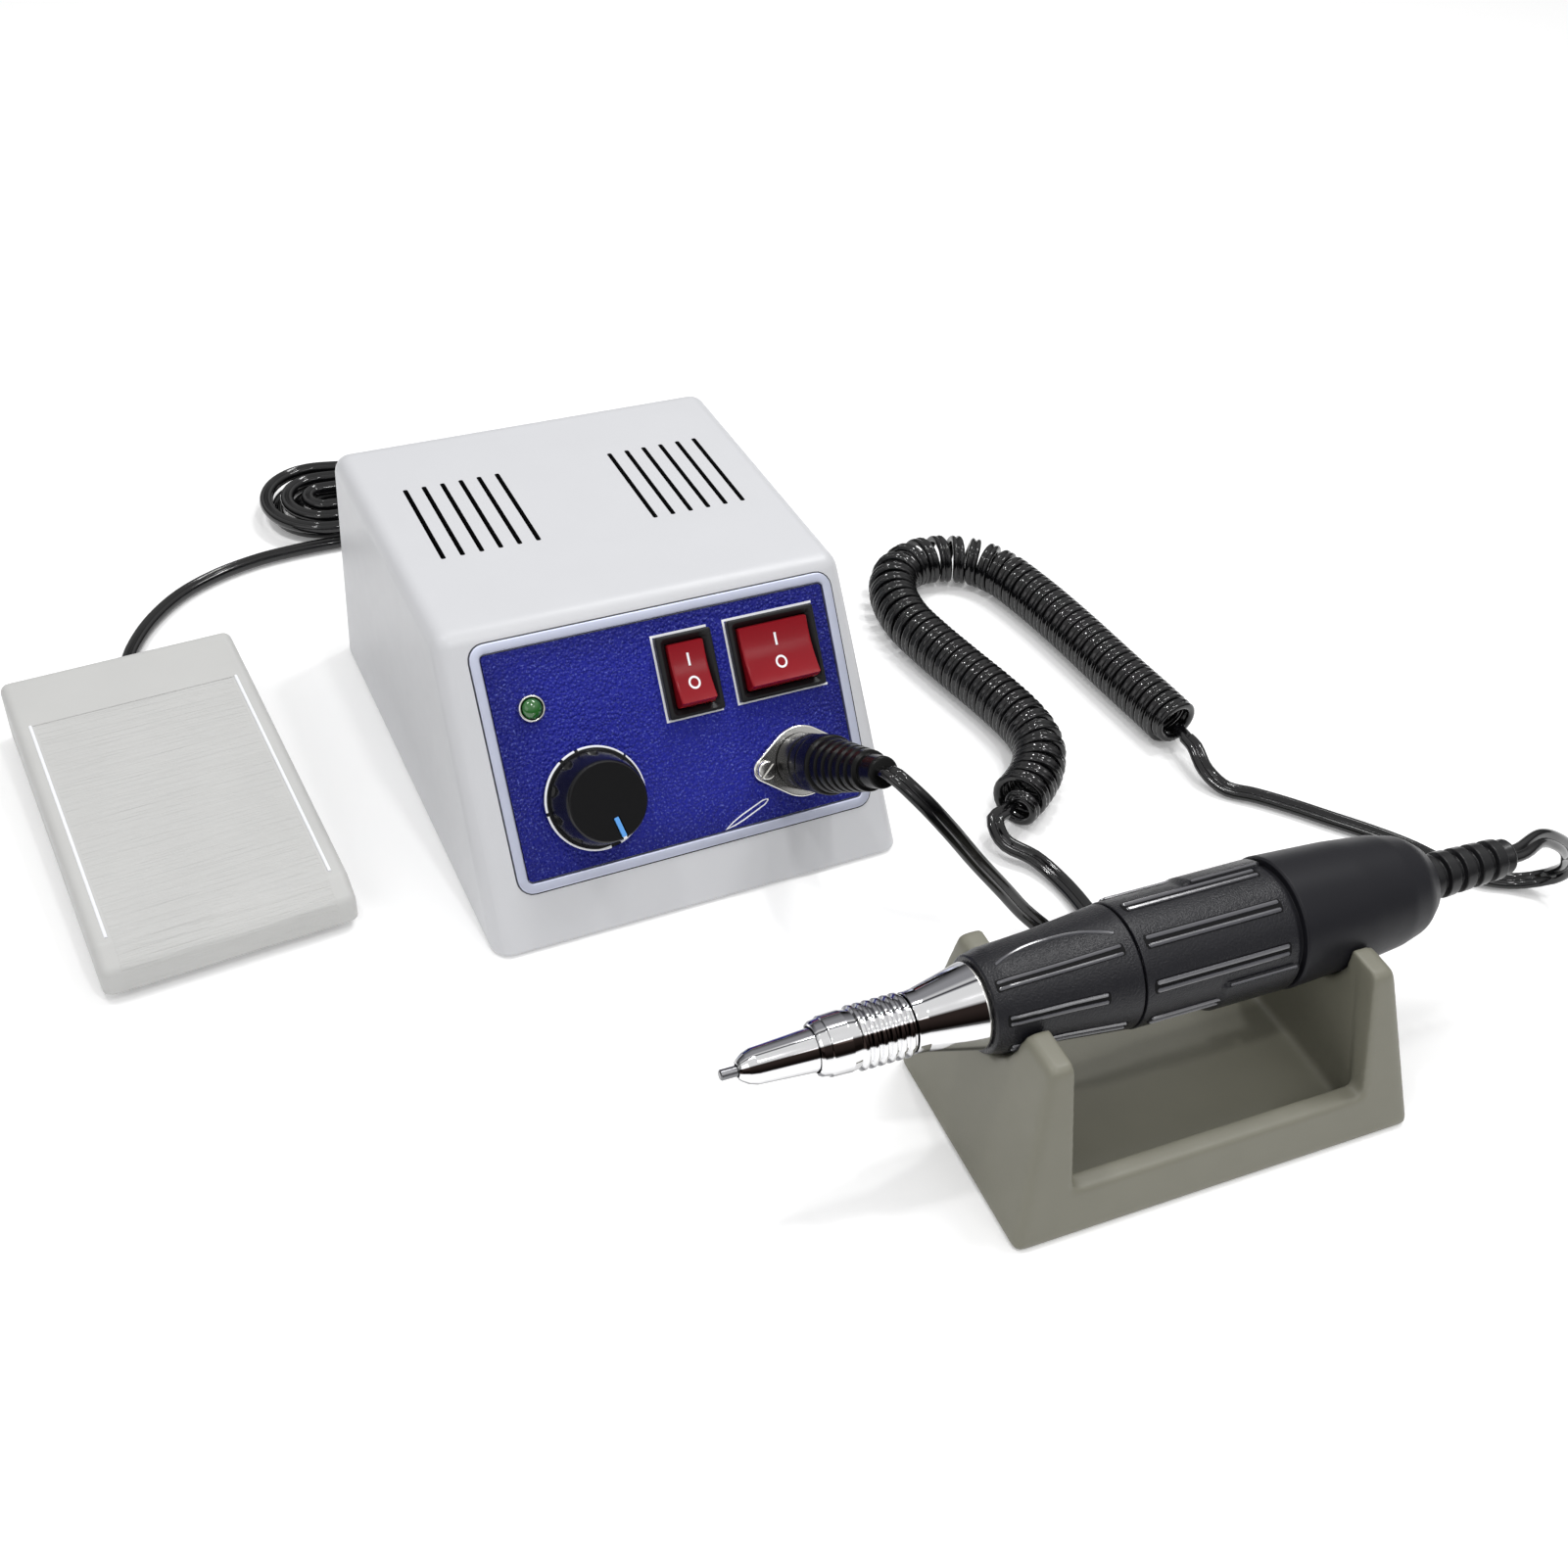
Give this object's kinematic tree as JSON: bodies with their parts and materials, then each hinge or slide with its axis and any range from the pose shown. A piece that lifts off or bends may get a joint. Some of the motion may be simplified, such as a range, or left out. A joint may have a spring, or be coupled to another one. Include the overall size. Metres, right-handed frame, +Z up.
{
  "type": "micromotor polisher",
  "caption": "Bench micromotor polishing set: sloping-front control box, cylindrical handpiece resting in a cradle, curly handpiece cord and foot pedal with its bundled cord.",
  "frame": {"origin": "centre of the footprint of the box, cradle with handpiece and pedal, on the surface they stand on; the cords don't count", "axes": "+X to the user's right as the panel faces the user, +Y away from the user, +Z up"},
  "size_m": [0.3624, 0.3563, 0.066],
  "materials": {
    "box_white": "fine textured white paint, satin",
    "black_plastic": "moulded black plastic, fine grain",
    "rubber_black": "soft black rubber, matt",
    "silver_trim": "silver, satin",
    "panel_blue": "deep blue with a fine texture and white printed lines",
    "pointer_blue": "light blue inlay",
    "steel": "plain steel",
    "switch_red": "glossy red moulding with white marks",
    "chrome_fittings": "bright plating",
    "lamp_green": "clear green lens",
    "copper_winding": "lacquered copper wire",
    "board_green": "green solder mask",
    "cradle_khaki": "grey-green moulded plastic, satin",
    "chrome_handpiece": "turned and satin plated",
    "handpiece_black": "black, satin, with raised grip lines",
    "pedal_grey": "pale grey moulding with fine cross lines",
    "cord_black": "smooth black cord sheath"
  },
  "bodies": {
    "set": {"housing_shell": "box_white", "base_plate": "black_plastic", "foot_1": "rubber_black", "foot_2": "rubber_black", "foot_3": "rubber_black", "foot_4": "rubber_black", "panel_trim": "silver_trim", "front_panel": "panel_blue", "pot_body": "steel", "pot_nut": "steel", "power_switch_body": "black_plastic", "mode_switch_body": "black_plastic", "led_bezel": "chrome_fittings", "led_lens": "lamp_green", "socket_flange": "chrome_fittings", "socket_insert": "black_plastic", "flange_screw_1": "steel", "flange_screw_2": "steel", "transformer_core": "steel", "transformer_winding": "copper_winding", "circuit_board": "board_green", "filter_capacitor": "black_plastic", "mains_inlet": "black_plastic", "fuse_holder": "black_plastic", "pedal_jack": "silver_trim", "pedal_plug": "black_plastic", "cradle": "cradle_khaki", "pedal_base": "pedal_grey", "pedal_hinge_pin": "steel", "pedal_spring": "steel", "pedal_switch": "black_plastic", "curly_cord": "cord_black", "handset_lead": "cord_black", "pedal_hank": "cord_black", "hank_tie": "cord_black", "pedal_lead": "cord_black", "jack_lead": "cord_black", "plug_lead": "cord_black"},
    "knob": {"speed_knob": "black_plastic", "knob_pointer": "pointer_blue", "pot_shaft": "steel"},
    "power_rocker": {"power_rocker": "switch_red"},
    "mode_rocker": {"mode_rocker": "switch_red"},
    "treadle": {"pedal_treadle": "pedal_grey"},
    "handpiece": {"nose_cone": "chrome_handpiece", "chuck_ring": "chrome_handpiece", "front_cone": "chrome_handpiece", "front_sleeve": "handpiece_black", "rear_cap": "handpiece_black", "motor_can": "steel", "front_bearing": "steel", "rear_bearing": "steel", "cord_boot": "rubber_black"},
    "grip": {"grip_sleeve": "handpiece_black"},
    "spindle": {"bur": "steel", "spindle": "steel", "rotor": "copper_winding"},
    "plug": {"plug_barrel": "black_plastic", "plug_boot": "rubber_black"},
    "fuse_cap": {"fuse_cap": "black_plastic"}
  },
  "joints": [
    {"name": "knob_turn", "type": "hinge", "parent": "set", "child": "knob", "pos_m": [-0.03218, 0.00944, 0.0282], "axis": [0, -0.8204, 0.5718], "range_deg": [0, 300]},
    {"name": "power_rocker_tilt", "type": "hinge", "parent": "set", "child": "power_rocker", "pos_m": [0.02252, 0.023, 0.04922], "axis": [1, 0, 0], "range_deg": [0, 21.8]},
    {"name": "mode_rocker_tilt", "type": "hinge", "parent": "set", "child": "mode_rocker", "pos_m": [-0.00158, 0.02288, 0.04906], "axis": [1, 0, 0], "range_deg": [0, 21.8]},
    {"name": "treadle_press", "type": "hinge", "parent": "set", "child": "treadle", "pos_m": [-0.12822, 0.1122, 0.0095], "axis": [0.9981, 0.061, 0], "range_deg": [0, 1.5], "stiffness_Nm_per_rad": 1, "springref_deg": -2.86},
    {"name": "handpiece_lift", "type": "slide", "parent": "set", "child": "handpiece", "axis": [0, 0, 1], "range_m": [0, 0.06]},
    {"name": "grip_twist", "type": "hinge", "parent": "handpiece", "child": "grip", "pos_m": [0.05636, -0.09677, 0.04], "axis": [0.999, -0.0454, 0], "range_deg": [0, 45]},
    {"name": "spindle_spin", "type": "hinge", "parent": "handpiece", "child": "spindle", "pos_m": [0.05636, -0.09677, 0.04], "axis": [0.999, -0.0454, 0], "continuous": true},
    {"name": "plug_pull", "type": "slide", "parent": "set", "child": "plug", "axis": [0, -0.8204, 0.5718], "range_m": [0, 0.014], "deforming": ["plug_lead"]},
    {"name": "fuse_cap_turn", "type": "hinge", "parent": "set", "child": "fuse_cap", "pos_m": [-0.00068, 0.12941, 0.028], "axis": [0, 1, 0], "range_deg": [0, 90]}
  ]
}
